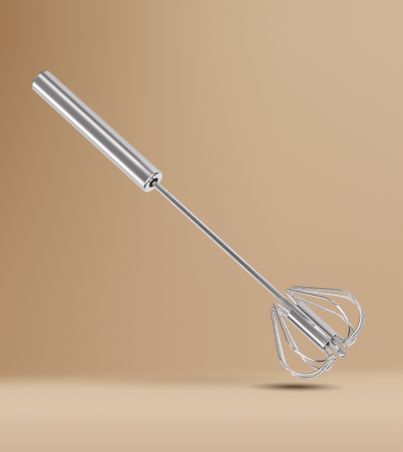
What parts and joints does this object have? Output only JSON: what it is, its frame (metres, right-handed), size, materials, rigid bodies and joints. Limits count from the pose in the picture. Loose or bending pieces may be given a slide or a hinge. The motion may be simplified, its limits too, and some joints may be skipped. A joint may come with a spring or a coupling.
{
  "type": "push-down rotary egg beater",
  "caption": "Hand egg beater with a round steel handle that slides down a thin rod, a spiral drive and return spring inside, and a spinning cage of bent wire loops.",
  "frame": {"origin": "lowest point of the foot, on the axis, which is the bottom centre of the bounding box", "axes": "+Z along the axis from the foot to the handle; -Y is the front, where one wire loop points, and +X is to the right of it"},
  "size_m": [0.0618, 0.065, 0.3],
  "materials": {
    "handle_steel": "polished along the tube, faint lengthwise grain",
    "sleeve_steel": "polished along the tube",
    "rod_steel": "ground and polished",
    "wire_steel": "bright drawn wire",
    "spring_steel": "drawn spring wire",
    "inner_steel": "plain turned and pressed",
    "bush_nylon": "moulded nylon, matte",
    "bumper_rubber": "moulded, matte"
  },
  "bodies": {
    "handle": {"handle_tube": "handle_steel", "handle_end_cap": "handle_steel", "guide_bush": "bush_nylon", "bush_retaining_ring": "inner_steel", "bumper_ring": "bumper_rubber", "strip_anchor_plug": "inner_steel", "anchor_pin": "inner_steel", "spiral_strip": "inner_steel", "spring_top_washer": "inner_steel", "return_spring": "spring_steel"},
    "spring_seat": {"thrust_washer": "inner_steel"},
    "beater": {"drive_nut": "inner_steel", "drive_rod": "rod_steel", "head_sleeve": "sleeve_steel", "upper_hub_disc": "inner_steel", "lower_hub_disc": "inner_steel", "foot_bush": "bush_nylon", "wire_loop_01": "wire_steel", "wire_loop_02": "wire_steel", "wire_loop_03": "wire_steel", "wire_loop_04": "wire_steel", "wire_loop_05": "wire_steel", "wire_loop_06": "wire_steel", "wire_loop_07": "wire_steel", "wire_loop_08": "wire_steel", "wire_loop_09": "wire_steel", "wire_loop_10": "wire_steel"},
    "foot": {"foot_cap": "rod_steel", "foot_pin": "inner_steel"}
  },
  "joints": [
    {"name": "push", "type": "slide", "parent": "handle", "child": "spring_seat", "axis": [0, 0, 1], "range_m": [0, 0.06], "stiffness_N_per_m": 88, "springref_m": -0.012, "deforming": ["return_spring"]},
    {"name": "spin", "type": "hinge", "parent": "spring_seat", "child": "beater", "pos_m": [0, 0, 0.2], "axis": [0, 0, 1], "range_deg": [0, 720]},
    {"name": "foot_spin", "type": "hinge", "parent": "beater", "child": "foot", "pos_m": [0, 0, 0.006], "axis": [0, 0, 1], "continuous": true}
  ],
  "couplings": [
    {"joint": "spin", "follows": "push", "rad_per_m": 209.44}
  ]
}
